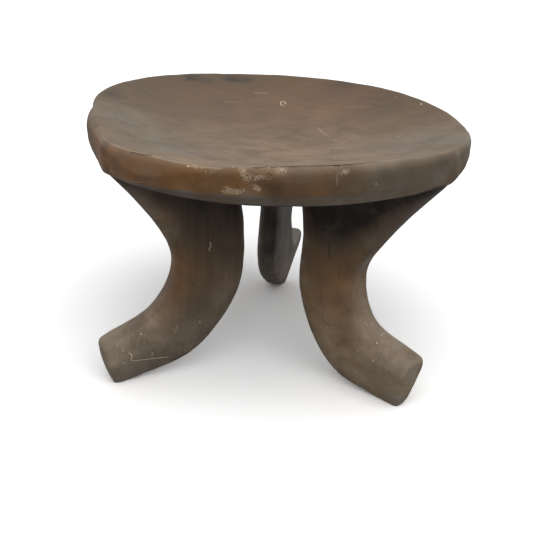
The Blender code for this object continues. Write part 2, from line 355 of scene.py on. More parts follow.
# direction and offset: the way that the leg points, in degrees, and its step aside from the middle
# flare: how far the tip passes the rim's lower edge
# ankle, toe and heel: lifts of these stations
# outer and inner: reaches of the stations below the seat, with the root at the belly first in inner
# thick: thickness at the seat, the waist and the toe
# keel, pare and chamfer: shares pared off the two sides below, where along the leg, and from what depth
# lean and roll: steps aside of the top and of the toe's underside
# square: power of the section, where 2 is an ellipse and more is squarer
LEGS = {
    "front_left_leg": dict(
        direction=199.6, offset=0.0048, flare=-0.0006, ankle=-0.0010, toe=-0.0042, heel=-0.0014,
        outer=(0.1055, 0.0918, 0.1105, 0.1555), inner=(0.036, 0.0272, 0.0340, 0.076, 0.1425),
        thick=(0.0375, 0.037, 0.031), keel=(0.75, 0.3), pare=(0.5, 1.0), chamfer=0.45,
        lean=0.0, roll=0.0, square=3.3),
    "front_right_leg": dict(
        direction=318.6, offset=0.0041, flare=0.0018, ankle=-0.0020, toe=0.0026, heel=-0.0087,
        outer=(0.1240, 0.1005, 0.1137, 0.159), inner=(0.036, 0.0435, 0.0415, 0.0765, 0.1405),
        thick=(0.040, 0.037, 0.033), keel=(0.3, 0.75), pare=(0.5, 1.0), chamfer=0.25,
        lean=0.0, roll=0.0, square=3.3),
    "rear_leg": dict(
        direction=83.0, offset=0.0040, flare=-0.001, ankle=0.0, toe=0.014, heel=0.0155,
        outer=(0.116, 0.098, 0.119, 0.178), inner=(0.044, 0.046, 0.042, 0.086, 0.174),
        thick=(0.031, 0.033, 0.038), keel=(0.15, 0.72), pare=(-1.0, 0.0), chamfer=0.0,
        lean=-0.006, roll=0.005, square=5.0),
}
print("legs point:", {name: leg["direction"] for name, leg in LEGS.items()})

# %% [markdown]
# The outer curve has to end at the rim's lower edge, which is an oval about another middle than the legs'
# own. A short walk finds where: each step moves the reach by what is still missing to the edge.

# %% Leg curves
SOLE_CUT = 0.002
FLARE_STEPS = 8


def spline(points, share):
    """Catmull-Rom curve through evenly numbered points, read at shares from 0 to 1."""
    points = np.asarray(points, float)
    last = len(points) - 1
    place = np.clip(np.asarray(share) * last, 0, last - TINY)
    index = place.astype(int)
    part = (place - index).reshape((-1,) + (1,) * (points.ndim - 1))
    run = np.concatenate(([2 * points[0] - points[1]], points, [2 * points[-1] - points[-2]]))
    a, b, c, d = (run[index + step] for step in range(4))
    return b + 0.5 * part * (c - a + part * (2 * a - 5 * b + 4 * c - d + part * (3 * (b - c) + d - a)))


def leg_to_world(leg, local):
    """Turns (reach, side, height) into x, y, z: the middle, plus the reach along the leg's direction and the
    side and offset square to it."""
    way = math.radians(leg["direction"])
    along = np.array((math.cos(way), math.sin(way)))
    aside = np.array((-along[1], along[0]))
    zero = MIDDLE + leg["offset"] * aside
    flat = zero + local[..., :1] * along + local[..., 1:2] * aside
    return np.concatenate((flat, local[..., 2:3]), axis=-1)


def on_plan(leg, reach):
    """World x and y at a reach along the leg's own plane."""
    return leg_to_world(leg, np.array((reach, 0.0, 0.0)))[:2]


def flare_reach(leg):
    """Reach of the outer edge at the seat, found by walking to the seat's lower edge."""
    reach = SEAT_RADIUS
    for _ in range(FLARE_STEPS):
        across, along = on_plan(leg, reach) - SEAT_MIDDLE
        way = math.atan2(along, across)
        reach += outline_radius(way) - band_inset(way) + leg["flare"] - math.hypot(across, along)
    return reach


def stations(reaches, shares, lifts, top):
    """Pairs of reach and height, where a height is a share of the edge's height plus a lift."""
    return [(reach, share * top + lift) for reach, share, lift in zip(reaches, shares, lifts)]


def leg_edges(leg):
    """Outer and inner edge as (reach, height) stations, and the half thickness at each."""
    flare, root = flare_reach(leg), leg["inner"][0]
    tip = on_plan(leg, flare)
    top = edge_height(*tip)
    outer = [(flare, belly_height(*tip))]
    outer += stations(leg["outer"], STATIONS_OUT, (0.0, 0.0, leg["ankle"], leg["toe"]), top)
    inner = [(root, belly_height(*on_plan(leg, root)))]
    inner += stations(leg["inner"][1:], STATIONS_IN, (0.0, 0.0, leg["heel"], -SOLE_CUT), top)
    seat, waist, toe = np.array(leg["thick"]) / 2
    return outer, inner, (seat, (seat + waist) / 2, waist, (waist + toe) / 2, toe)


print("flares reach:", {name: round(flare_reach(leg) / MM, 1) for name, leg in LEGS.items()}, "mm")

# %% [markdown]
# The section's corners are squarer at the toe than at the root, and the top runs a little way into the seat,
# because the real legs grow out of the same block and show no joint. The toe's end is rolled over in a
# quarter round and closed by a shallow dome.

# %% Leg skin
LEG_COLUMNS = 144
LEG_ROWS = 170
TOE_ROWS = 8
DOME_ROWS = 9
# Stretches along the leg, as shares of its length
ROOT_REACH = 0.025
LEAN_END = 0.5
SQUARING = (0.5, 1.0)
ROLLING = (0.75, 1.0)
# Shares of the way out, to the rim's edge for the flare's tip and to the toe's round for the dome
TIP_SHARES = (0.93, 0.99)
DOME_SHARES = (0.9, 0.1)
# What the section's power gains at the toe, and the row back from which the toe's direction is taken
SQUARE_GAIN = 0.3
AHEAD_ROW = -6
# Sizes in metres
ROOT_FILLET = 0.004
SINK = 0.0015
TOE_ROUND = 0.006
TOE_DOME = 0.0022
leg_turn = np.linspace(0, 2 * math.pi, LEG_COLUMNS, endpoint=False)[None, :]


def section(power):
    """Superellipse: |cos|^(2/power) across the chord and |sin|^(2/power) across the thickness."""
    deep = np.sign(np.cos(leg_turn)) * np.abs(np.cos(leg_turn)) ** (2 / power)
    wide = np.sign(np.sin(leg_turn)) * np.abs(np.sin(leg_turn)) ** (2 / power)
    return deep, wide


def leg_rings(leg):
    """Rings in (reach, side, height): from edge to edge across the chord, and to each side by the half
    thickness with a fillet at the root, less what is pared off below."""
    share = np.linspace(0, 1, LEG_ROWS)
    outer, inner, half = (spline(run, share) for run in leg_edges(leg))
    deep, wide = section(leg["square"] + SQUARE_GAIN * smooth(*SQUARING, share)[:, None])
    middle, chord = (outer + inner) / 2, (outer - inner) / 2
    edge = middle[:, None, :] + deep[..., None] * chord[:, None, :]
    lower = np.clip(((1 - deep) / 2 - leg["chamfer"]) / (1 - leg["chamfer"]), 0, 1)
    pared = np.where(wide > 0, *leg["keel"]) * lower * smooth(*leg["pare"], share)[:, None]
    step = leg["lean"] * np.clip(1 - share / LEAN_END, 0, 1)[:, None]
    step = step + leg["roll"] * smooth(*ROLLING, share)[:, None] * (1 - deep) / 2
    fillet = ROOT_FILLET * np.exp(-share / ROOT_REACH)
    side = step + wide * (half + fillet)[:, None] * (1 - pared)
    return np.stack((edge[..., 0], side, edge[..., 1]), axis=-1)


def toe_rings(rings):
    """Closes the toe ahead of its last ring: a quarter round, then a dome that rises as 1 - share^2."""
    last = rings[-1]
    centre = last.mean(axis=0)
    ahead = centre - rings[AHEAD_ROW].mean(axis=0)
    ahead /= np.linalg.norm(ahead)
    roll = np.radians(np.linspace(0, 90, TOE_ROWS + 1))[1:, None, None]
    shrink = 1 - 2 * TOE_ROUND * (1 - np.cos(roll)) / np.ptp(last, axis=0).max()
    cap = centre + (last - centre) * shrink + ahead * TOE_ROUND * np.sin(roll)
    face = centre + ahead * TOE_ROUND
    inward = np.linspace(*DOME_SHARES, DOME_ROWS)[:, None, None]
    dome = face + (cap[-1] - face) * inward + ahead * TOE_DOME * (1 - inward ** 2)
    return np.concatenate((cap, dome))


def leg_grid(leg):
    """Rings of the leg from its root to the middle of its toe, in world places. The first ring is set into
    the belly, and only the flare's tip stays outside the rim, at the edge's height."""
    rings = leg_rings(leg)
    grid = leg_to_world(leg, np.concatenate((rings, toe_rings(rings))))
    x, y = grid[0, :, 0], grid[0, :, 1]
    angle, share = belly_place(x, y)
    outside = smooth(*TIP_SHARES, share)
    grid[0, :, 2] = belly_height(x, y) + SINK * (1 - outside) + along_rim(angle, LIPS) * outside
    return grid


leg_points = {name: leg_grid(leg) for name, leg in LEGS.items()}
print("leg grids:", {name: grid.shape[:2] for name, grid in leg_points.items()})

# %% [markdown]
# Hand carving is never quite fair. Slow waves as long as an adze cut move every skin in and out by up to half
# a millimetre, and a shorter, fainter set gives the ripple of the finishing knife. They are added along the
# normals, so outlines and shading both show them. The floor stops the soles.

# %% Tool marks in the skins
ADZE_CUT = 0.060
SEAT_ADZE_DEPTH = 0.0003
LEG_ADZE_DEPTH = 0.0005
KNIFE_CUT = 0.015
KNIFE_DEPTH = 0.00012
SEAT_SEED = 11
LEG_SEEDS = dict(front_left_leg=21, front_right_leg=31, rear_leg=41)


def carve(grid, depth, seed):
    """Moves a grid along its normals by the adze's and the knife's waves."""
    adze = depth * carved_waves(grid, ADZE_CUT, seed)
    knife = KNIFE_DEPTH * carved_waves(grid, KNIFE_CUT, seed + 1)
    return grid + grid_normals(grid) * (adze + knife)[..., None]


grids = {"seat": carve(seat_points, SEAT_ADZE_DEPTH, SEAT_SEED)}
for name, seed in LEG_SEEDS.items():
    grids[name] = carve(leg_points[name], LEG_ADZE_DEPTH, seed)
    grids[name][..., 2] = np.maximum(grids[name][..., 2], 0.0)
skins = {name: skin_of(grid) for name, grid in grids.items()}
print("tops:", {name: round(float(grid[..., 2].max() / MM), 1) for name, grid in grids.items()}, "mm")

# %% [markdown]
# Wear and painted light are laid down as soft layers on the points: dust, with painted highlights on lit
# edges, where hands and feet seldom reach; polish where they do; a cool grey film where dust was rubbed in,
# with painted sheen on the dish's sides and on lit edges; soot, dark oil and painted shade under the seat;
# pale wood where edges rub, with painted highlights along the crest; and scuffs where the rim was knocked. A
# rule will give each layer its broad run. Spots, placed by where they show in the picture, then add to it or
# take from it, as a painter would. The seat's come first.

# %% Spots of wear and painted light on the seat
# Each spot is a picture place, across and down, a radius in mm and an amount
SEAT_SPOTS = {
    # paler to the front of the dish, and painted highlights on the crest above the front and at the crest's
    # right end; less at the left end
    "dust_and_highlight": (
        (285, 152, 60, 0.30), (330, 140, 40, 0.10), (243, 172, 5, 0.40), (262, 170, 8, 0.35),
        (285, 170, 10, 0.45), (310, 170, 10, 0.40), (337, 169, 10, 0.50), (364, 165.5, 9, 0.55),
        (384, 162, 9, 0.50), (466, 153, 8, 0.80), (460, 165, 8, 0.50), (462, 143, 10, 0.50),
        (104, 148, 12, -0.40), (118, 155, 12, -0.40),
    ),
    # painted sheen on the dish's two sides and painted highlights at the crest's right end; grey film on the
    # rim's right half and lower edge; less at the left end
    "film_and_sheen": (
        (150, 140, 45, 0.60), (120, 115, 30, 0.35), (180, 152, 20, 0.40), (440, 138, 35, 0.70),
        (400, 148, 25, 0.40), (400, 158, 14, 0.50), (430, 152, 12, 0.50), (464, 142, 14, 0.70),
        (460, 154, 5, 0.60), (457.5, 155, 3, 0.80), (467, 155, 6, 0.50), (453, 161, 6, 0.40),
        (461, 166, 7, 0.50), (440, 182, 16, 0.40), (400, 190, 22, 0.35), (360, 198, 22, 0.35),
        (400, 160, 6, 0.30), (378, 163, 8, 0.35), (300, 169, 8, 0.30), (250, 200, 12, 0.30),
        (230, 155, 22, 0.22), (350, 155, 20, 0.20), (420, 156, 8, 0.30), (437, 175, 12, 0.40),
        (415, 180, 12, 0.25), (98, 148, 12, -0.50), (107, 151, 13, -0.45), (121, 158, 12, -0.35),
        (400, 170, 25, 0.25), (430, 165, 20, 0.25), (466, 140, 8, 0.40), (110, 115, 25, 0.15),
        (180, 150, 22, 0.15), (380, 148, 25, 0.20), (150, 184, 12, 0.30), (185, 191, 9, 0.25),
        (215, 195, 9, 0.25), (245, 197, 9, 0.25),
    ),
    # the far crest, the back of the dish, the left end, and blotches along the rim's front
    "soot_and_shade": (
        (112, 94, 9, 0.60), (192, 78, 7, 0.75), (205, 80, 7, 0.45), (232, 79, 8, 0.70), (246, 80, 7, 0.60),
        (345, 82, 14, 0.35), (380, 100, 26, 0.20), (330, 95, 16, 0.12), (310, 108, 7, 0.20),
        (225, 120, 16, 0.10), (345, 118, 16, 0.15), (110, 142, 7, 0.35), (125, 150, 7, 0.18),
        (170, 160, 7, 0.18), (108, 172, 7, 0.50), (115, 168, 6, 0.25), (118, 160, 9, 0.20),
        (130, 164, 10, 0.32), (147, 166, 10, 0.22), (165, 171, 10, 0.20), (181, 172, 9, 0.16),
        (250, 175, 6, 0.35), (260, 183, 7, 0.30), (275, 190, 9, 0.50), (300, 186, 14, 0.40),
        (345, 180, 16, 0.25), (335, 190, 9, 0.18), (370, 178, 16, 0.20), (385, 171, 7, 0.20),
        (390, 182, 9, 0.15), (420, 170, 18, 0.08), (440, 166, 14, 0.20), (462, 156, 4, 0.25),
        (105, 143, 8, 0.30), (350, 95, 26, 0.18), (390, 108, 20, 0.12), (420, 172, 22, 0.10),
        (440, 170, 14, 0.10), (104, 147, 8, 0.15), (140, 181, 9, 0.25), (160, 187, 9, 0.20),
        (405, 177, 20, 0.20), (380, 110, 25, 0.10),
    ),
    # the rim's front and left end, and the back of the dish
    "polish": (
        (185, 180, 26, 0.60), (215, 186, 10, 0.40), (255, 186, 22, 0.30), (290, 182, 14, 0.20),
        (325, 188, 22, 0.30), (95, 133, 6, 0.40), (97, 142, 9, 0.60), (98, 150, 10, 0.60),
        (110, 158, 10, 0.60), (285, 92, 40, 0.35), (200, 95, 30, 0.25), (360, 98, 40, 0.30),
        (240, 120, 45, 0.20), (330, 112, 50, 0.20), (92, 138, 8, 0.60), (106, 150, 12, 0.60),
        (120, 158, 10, 0.45), (240, 178, 14, 0.25), (300, 108, 40, 0.15), (350, 100, 30, 0.15),
    ),
    # rubbed pale at the crest above the front, and painted highlights along the crest's right part and at the
    # dish's right end
    "wear_and_painted_light": (
        (219, 175, 8, 0.20), (300, 168, 14, 0.30), (370, 163, 12, 0.60), (390, 162, 10, 0.50),
        (420, 157, 14, 0.40), (432, 132, 20, 0.45),
    ),
    # flaked places along the rim's front
    "scuff": (
        (222, 192, 4, 0.75), (228, 191, 4, 0.85), (234, 192, 4, 0.85), (240, 192, 4, 0.80),
        (245, 190, 3, 0.60), (226, 186, 3, 0.45), (241, 171, 4, 0.80), (245, 174, 4, 0.75),
        (245, 181, 4, 0.80), (253, 177, 4, 0.80), (260, 177, 4, 0.80), (254, 187, 4, 0.85),
        (260, 190, 4, 0.85), (269, 179, 5, 0.65), (277, 171, 6, 0.66), (285, 169, 5, 0.62),
        (340, 174, 5, 0.60), (346, 171, 4, 0.70), (337, 182, 4, 0.60), (196, 168, 5, 0.60),
        (206, 173, 6, 0.70), (217, 172, 6, 0.60), (197, 186, 6, 0.60), (208, 186, 6, 0.65),
        (298, 178, 6, 0.55), (312, 180, 7, 0.62), (325, 172, 7, 0.64), (355, 172, 6, 0.64),
        (285, 183, 6, 0.64), (300, 190, 6, 0.60),
    ),
}
print("seat spots:", {layer: len(spots) for layer, spots in SEAT_SPOTS.items()})

# %% [markdown]
# The legs are rubbed warm at the waist and along the inner edges, dusty and grey towards the feet, with
# painted highlights on lit edges, and black with painted shade where they meet the seat. Most of their spots
# lie where one of these gives way to another.

# %% Spots of wear and painted light on the legs
LEG_SPOTS = {
    "front_left_leg": {
        # the waist and the calf
        "polish": (
            (173, 262, 12, 0.90), (174, 278, 12, 0.70), (182, 292, 10, 0.30), (165, 312, 16, 0.50),
            (150, 205, 14, 0.40), (165, 220, 10, 0.40),
        ),
        # painted highlight on the outer edge below the rim; less at the waist
        "dust_and_highlight": (
            (122, 186, 10, 0.15), (136, 196, 14, 0.45), (152, 212, 14, 0.45), (164, 232, 10, 0.40),
            (175, 225, 8, 0.25), (165, 315, 18, 0.15), (171, 274, 9, -0.30), (170, 295, 14, -0.25),
            (130, 190, 8, 0.30), (142, 202, 9, 0.30), (152, 214, 9, 0.20),
        ),
        # the foot's lower edge and the inner edge
        "film_and_sheen": (
            (150, 366, 10, 0.45), (135, 372, 9, 0.40), (168, 362, 8, 0.35), (237, 280, 8, 0.30),
            (230, 265, 14, 0.20), (225, 300, 14, 0.20), (232, 235, 12, 0.15), (140, 371, 6, 0.25),
            (152, 368, 6, 0.20), (110, 377, 6, 0.30), (118, 379, 6, 0.40),
        ),
        # painted shade under the rim, down the inner half and along the foot's lower edge, and darker spots
        # at the waist
        "soot_and_shade": (
            (125, 179, 9, 0.25), (162, 204, 9, 0.20), (160, 371, 6, 0.10), (178, 363, 6, 0.10),
            (172, 285, 10, 0.15), (170, 284, 7, 0.15), (165, 215, 14, -0.22), (225, 212, 28, 0.45),
            (215, 255, 22, 0.20), (232, 255, 10, 0.20), (176, 286, 7, 0.25), (200, 308, 20, 0.38),
            (205, 335, 14, 0.30), (107, 372, 7, 0.10), (122, 375, 8, 0.15), (140, 370, 8, 0.22),
            (158, 366, 8, 0.30), (176, 359, 8, 0.30),
        ),
    },
    "front_right_leg": {
        # the inner edge, the calf and the foot
        "polish": (
            (332, 285, 24, 0.80), (330, 325, 26, 0.60), (388, 385, 20, 0.30), (308, 285, 14, 0.80),
            (312, 250, 12, 0.50), (350, 365, 20, 0.50), (315, 320, 16, 0.35), (335, 345, 16, 0.35),
            (357, 368, 12, 0.30),
        ),
        # painted light along the inner edge, and dust on the foot
        "dust_and_highlight": (
            (306, 281, 7, 0.35), (312, 312, 8, 0.25), (325, 335, 8, 0.20), (342, 355, 8, 0.20),
            (358, 377, 8, 0.20), (372, 362, 18, 0.20),
        ),
        # painted highlights on both edges, and grey film along the outer face and on the toe
        "film_and_sheen": (
            (305, 240, 7, 0.55), (306, 262, 6, 0.30), (372, 240, 10, 0.25), (367, 262, 7, 0.45),
            (362, 300, 12, 0.35), (372, 322, 12, 0.25), (385, 338, 18, 0.25), (400, 346, 6, 0.30),
            (412, 380, 7, 0.35), (402, 400, 7, 0.50), (390, 396, 7, 0.30), (410, 212, 14, 0.15),
            (365, 265, 9, 0.45), (360, 280, 9, 0.25), (304, 282, 6, 0.50), (302, 262, 5, 0.60),
            (303, 300, 5, 0.50), (396, 402, 7, 0.45), (400, 205, 16, 0.25), (425, 195, 12, 0.25),
            (330, 235, 14, 0.25), (395, 360, 16, 0.25), (405, 375, 14, 0.25), (385, 350, 14, 0.15),
            (412, 365, 12, 0.35), (385, 228, 10, 0.25),
        ),
        # painted shade under the rim and along the foot's lower edge, and darker down the middle of the leg
        # and round the toe's end
        "soot_and_shade": (
            (325, 218, 30, 0.85), (308, 214, 9, -0.40), (370, 210, 16, 0.60), (385, 218, 8, -0.15),
            (392, 200, 10, 0.50), (408, 198, 10, 0.35), (423, 194, 10, 0.35), (437, 189, 9, 0.60),
            (431, 190.5, 6, 0.50), (340, 300, 7, 0.20), (349, 312, 5, 0.35), (320, 300, 8, 0.20),
            (350, 330, 10, 0.15), (350, 377, 7, 0.12), (362, 386, 7, 0.12), (340, 368, 7, 0.10),
            (352, 272, 12, 0.22), (352, 300, 10, 0.18), (340, 328, 14, 0.08), (411, 356, 6, 0.30),
            (421, 368, 4, 0.55), (416, 382, 4, 0.55), (409, 394, 4, 0.40), (398, 402, 4, 0.15),
        ),
    },
    "rear_leg": {
        # painted light on the outer side and the left edge, and film at the heel
        "film_and_sheen": (
            (287, 245, 12, 0.45), (286, 262, 8, 0.50), (259, 240, 4, 0.50), (297, 238, 9, 0.40),
            (275, 272, 6, 0.25), (262, 268, 6, 0.35), (293, 256, 6, 0.30),
        ),
        # painted shade on the face under the seat
        "soot_and_shade": (
            (270, 212, 8, 0.50), (275, 240, 7, 0.35), (273, 225, 8, 0.80), (270, 250, 8, 0.60),
            (279, 222, 6, 0.50), (280, 234, 5, 0.45),
        ),
    },
}
print("leg spots:", {name: sum(map(len, layers.values())) for name, layers in LEG_SPOTS.items()})

# %% [markdown]
# The rules for the seat read the way that the skin faces: dust lies on what is level, polish comes to what is
# upright, and film and painted shade to what looks down. Along the crest a narrow strip is rubbed pale, so
# each point also keeps its distance from the crest, measured along its column of the grid.

# %% Layers of the seat
# Upward part of the normal, from where a face starts to count as one of these to where it fully does
LEVEL = (0.60, 0.95)
STEEP = (0.50, 0.90)
LEANING = (-0.25, -0.45)
NOT_BELOW = (-0.95, -0.80)
BELOW = (-0.55, -0.85)
# Places from back to front, as y
PALER_FRONT = (0.12, -0.15)
DARKER_BACK = (0.0, 0.12)
# Amounts
BACK_DUST = 0.04
FRONT_PALING = 0.70
EDGE_FILM = 0.60
BELLY_SHADE = 0.85
BACK_DARKENING = 0.14
# Marks along the rim
POLISHED_RIM = ((1.0, 226, 38),)
CLEAN_EDGE = ((0.6, 212, 16),)
RUBBED_CREST = ((1.0, 232, 26), (0.6, 302, 24))
SCUFFED_CREST = ((0.5, 245, 22),)
# Middle and width of strips beside the crest, in metres along the skin
RUBBED_STRIP = (1.5 * MM, 4.0 * MM)
SCUFFED_STRIP = (2.5 * MM, 2.0 * MM)


def add_spots(skin, grid, layers, spots_by_layer):
    """Adds each spot's bell curve to its layer, and keeps the layers between 0 and 1."""
    for layer, spots in spots_by_layer.items():
        for *pixel, radius, amount in spots:
            layers[layer] = layers[layer] + amount * near(grid, touch(skin, pixel), radius * MM)
    return {key: np.clip(value, 0, 1) for key, value in layers.items()}


def seat_layers(grid):
    """Paler and greyer to the front of the dish, polish on the rim's front left, painted shade below and
    darker towards the back, and wear along the crest.
    """
    x, y = grid[..., 0], grid[..., 1]
    rise = grid_normals(grid)[..., 2]
    angle = np.arctan2(y - SEAT_MIDDLE[1], x - SEAT_MIDDLE[0])
    run = np.linalg.norm(np.diff(grid, axis=0, prepend=grid[:1]), axis=-1).cumsum(axis=0)
    run = run - run[DISH_ROWS]
    level = smooth(*LEVEL, rise)
    film_and_sheen = EDGE_FILM * smooth(*LEANING, rise) * smooth(*NOT_BELOW, rise)
    layers = {
        "polish": (1 - smooth(*STEEP, np.abs(rise))) * along_rim(angle, POLISHED_RIM),
        "dust_and_highlight": level * (BACK_DUST + FRONT_PALING * smooth(*PALER_FRONT, y)),
        "film_and_sheen": film_and_sheen * (1 - along_rim(angle, CLEAN_EDGE)),
        # painted shade on faces that look down under the seat, and darker towards the back of the dish
        "soot_and_shade": BELLY_SHADE * smooth(*BELOW, rise) + BACK_DARKENING * smooth(*DARKER_BACK, y) * level,
        "wear_and_painted_light": hill(run, *RUBBED_STRIP) * along_rim(angle, RUBBED_CREST),
        "scuff": hill(run, *SCUFFED_STRIP) * along_rim(angle, SCUFFED_CREST),
    }
    return add_spots(skins["seat"], grid, layers, SEAT_SPOTS) | {"crest": run / MM}


wear_and_painted_light = {"seat": seat_layers(grids["seat"])}
print("mean of each layer:", {key: round(float(value.mean()), 2) for key, value in wear_and_painted_light["seat"].items()})

# %% [markdown]
# On the legs the rules go by height: dust with painted light rises from the floor, hands and heels polish the
# waist, and painted shade darkens the tops under the seat, less on the outer edge. The legs have no crest, so
# theirs is set far away.

# %% Layers of the legs
# Heights in metres: the waist's middle and width, then pairs from none of a layer to all of it
WAIST = (0.100, 0.05)
DUSTY_LIT_FOOT = (0.115, 0.02)
SHADED_TOP = (0.130, 0.195)
WORN_FOOT = (0.15, 0.08)
# Cosines of the turn round the section from the outer edge: a pair from none to all, and a middle and width
OUTER_SIDE = (-0.2, 0.9)
OUTER_EDGE = (1, 0.06)
# Amounts
WAIST_POLISH = 0.22
FOOT_DUST_AND_LIGHT = 0.70
TOP_SHADE = 0.9
OUTER_LOSS = 0.5
EDGE_WEAR_AND_HIGHLIGHT = 0.15
NO_CREST = -100.0


def leg_layers(name, grid):
    """Dust and painted light on the feet, polish round the waist, and painted shade up under the seat, less
    on the outer edge.
    """
    z = grid[..., 2]
    outer = smooth(*OUTER_SIDE, np.cos(leg_turn))
    layers = {
        "polish": WAIST_POLISH * hill(z, *WAIST),
        # dust, and painted light on the feet
        "dust_and_highlight": FOOT_DUST_AND_LIGHT * smooth(*DUSTY_LIT_FOOT, z),
        "film_and_sheen": np.zeros_like(z),
        # painted shade on the tops under the seat, less on the outer edge
        "soot_and_shade": smooth(*SHADED_TOP, z) * (TOP_SHADE - OUTER_LOSS * outer),
        # pale wear and painted highlight along the outer edge
        "wear_and_painted_light": EDGE_WEAR_AND_HIGHLIGHT * hill(np.cos(leg_turn), *OUTER_EDGE) * smooth(*WORN_FOOT, z),
        "scuff": np.zeros_like(z),
    }
    return add_spots(skins[name], grid, layers, LEG_SPOTS[name]) | {"crest": np.full_like(z, NO_CREST)}


wear_and_painted_light |= {name: leg_layers(name, grids[name]) for name in LEGS}
print("mean dust:", {name: round(float(layers["dust_and_highlight"].mean()), 2) for name, layers in wear_and_painted_light.items()})

# %% [markdown]
# Scratches and chips are finer than the grid, so the material draws them. The pale ones are fresh: they show
# the wood below the dark skin, all but one line on the crest's right shoulder, which is a painted highlight.
# A chip has a single place, and the small ring in the dish is drawn as most of an ellipse.

# %% Pale scratches
RING_MARK = np.array((283, 103.4))
RING_RADII = np.array((2.5, 2.0))
RING_TURNS = (75, 375)
RING_POINTS = 9
ring_turns = np.radians(np.linspace(*RING_TURNS, RING_POINTS))
ring = RING_MARK + RING_RADII * np.stack((np.cos(ring_turns), np.sin(ring_turns)), axis=-1)
# Each mark is a width in mm, a strength, then picture places along the line
PALE_SCRATCHES = {
    "seat": (
        (0.7, 0.5, (255, 93), (268, 93)), (0.5, 0.3, (225, 102), (245, 102)),
        (0.5, 0.5, (318, 128), (322, 132), (327, 135)), (0.8, 0.7, (396, 97)),
        (0.8, 0.7, (421, 103), (421, 105)), (0.9, 0.6, (399, 137)), (0.8, 0.5, (432, 119)),
        (0.7, 0.6, (187, 98)), (1.1, 1.0, (188, 166)), (0.9, 1.0, (233, 167)), (0.9, 0.7, (99, 155)),
        (0.6, 0.5, (271, 118)), (0.5, 0.20, (337, 185), (336.5, 178), (338, 173)),
        (0.6, 0.25, (341, 173), (348, 171)), (0.5, 0.20, (120, 176), (131, 181), (142, 182.5)),
        (0.8, 0.7, (109, 174.5)), (0.6, 0.5, (110, 170), (113, 172)), (0.8, 0.5, (376, 184)),
        (0.7, 0.5, (311, 139)), (0.8, 0.7, (269, 168)), (0.7, 0.40, (190, 166.2), (197, 166.8)),
        (0.8, 0.30, (200, 167.2), (208, 167.4)), (0.6, 0.25, (209, 167.6), (222, 168)),
        # the line from (388, 159) to (401, 157.5), on the crest's right shoulder, is a painted highlight
        (0.6, 0.4, (388, 159), (401, 157.5)), (0.8, 0.8, (282, 170)), (0.5, 0.3, (346, 107), (372, 107)),
        (0.7, 1.0, *ring),
    ),
    "front_left_leg": (
        (0.5, 0.9, (129, 353), (132, 355), (131, 360), (135, 361), (150, 359), (168, 357)),
        (0.45, 0.6, (151.9, 352.3), (152.8, 353.7), (152.2, 355.2), (150.6, 355.6)),
        (0.5, 0.7, (210, 242), (211, 246), (209, 249), (210, 251)),
        (1.1, 0.8, (118, 378)), (0.8, 0.8, (141, 334)), (1.0, 0.7, (200, 322)), (0.8, 0.8, (118, 367)),
        (0.5, 0.6, (122, 364), (126, 362)), (0.5, 0.25, (174, 334), (178, 326)), (0.7, 0.7, (186, 351)),
        (0.7, 0.6, (162, 216)), (0.6, 0.6, (155, 218)), (0.5, 0.12, (137, 349), (139, 338)),
        (0.5, 0.5, (117, 344), (124, 351)), (0.5, 0.2, (145, 318), (148, 313)), (0.6, 0.4, (192, 312)),
    ),
    "front_right_leg": (
        (0.9, 1.0, (377, 343)), (0.8, 0.9, (382, 341)), (0.8, 0.9, (358, 351)), (0.9, 1.0, (373, 361)),
        (0.7, 0.8, (378, 370)), (0.7, 0.8, (386, 370)), (0.8, 0.7, (406, 383)),
        (0.5, 0.15, (354, 290), (353, 300)), (0.6, 0.5, (396, 398), (401, 396)),
        (0.5, 0.5, (380, 336), (385, 333)), (0.7, 0.8, (381, 370)), (0.5, 0.3, (362, 318), (368, 326)),
        (0.5, 0.3, (366, 310), (372, 325)), (0.6, 0.4, (393, 362)),
    ),
    "rear_leg": (),
}
print("pale scratches:", {name: len(marks) for name, marks in PALE_SCRATCHES.items()})

# %% [markdown]
# The dark ones are old: cracks and dents that have filled with oil and soot. The longest is the crack along
# the crest above the front.

# %% Dark nicks
DARK_NICKS = {
    "seat": (
        (0.7, 0.7, (270, 158), (276, 160)), (0.6, 0.6, (331, 153), (333, 150)),
        (0.6, 0.5, (302, 107), (311, 108)), (1.0, 0.8, (185, 81), (191, 77), (200, 75.5)),
        (1.0, 0.5, (222, 78), (236, 81), (246, 80)), (0.6, 0.4, (122, 122), (134, 128)),
        (0.6, 0.4, (156, 146), (170, 147)), (0.5, 0.4, (200, 152), (206, 153)),
        (0.6, 0.5, (335, 124), (342, 122)), (0.8, 0.5, (267, 134)), (0.7, 0.5, (105, 92), (114, 96)),
        (0.8, 0.6, (268, 173.5), (271.5, 175)), (0.7, 0.5, (273, 177.5), (274, 179.5)),
        # the crack along the crest
        (1.2, 1.0, (254, 167.7), (260, 167.5)), (0.8, 0.9, (260, 167.5), (276, 167.2)),
        (0.9, 1.0, (280, 167), (300, 166.4)), (0.8, 0.9, (303, 166.3), (334, 165.4)),
        (1.2, 1.0, (334, 165.5), (340, 165.3)), (0.9, 0.9, (343, 165), (352, 164.5)),
        (0.8, 0.8, (352, 164.3), (378, 161.6)),
        # its like at the left end
        (1.0, 0.6, (131, 152.5), (142, 154.5), (152, 155.5)),
    ),
    "front_left_leg": (
        (0.9, 0.5, (193, 283), (195, 287)), (0.6, 0.5, (200, 300)), (0.7, 0.4, (146, 340), (148, 344)),
    ),
    "front_right_leg": (
        (0.7, 0.8, (329, 243), (329, 251), (329, 259)), (0.6, 0.5, (322, 315), (326, 324), (331, 326)),
        (0.8, 0.5, (349, 311)), (0.6, 0.4, (340, 262), (339, 278)), (0.8, 0.3, (321, 290), (321, 300)),
    ),
    "rear_leg": ((0.8, 0.5, (272, 268), (275, 262)),),
}
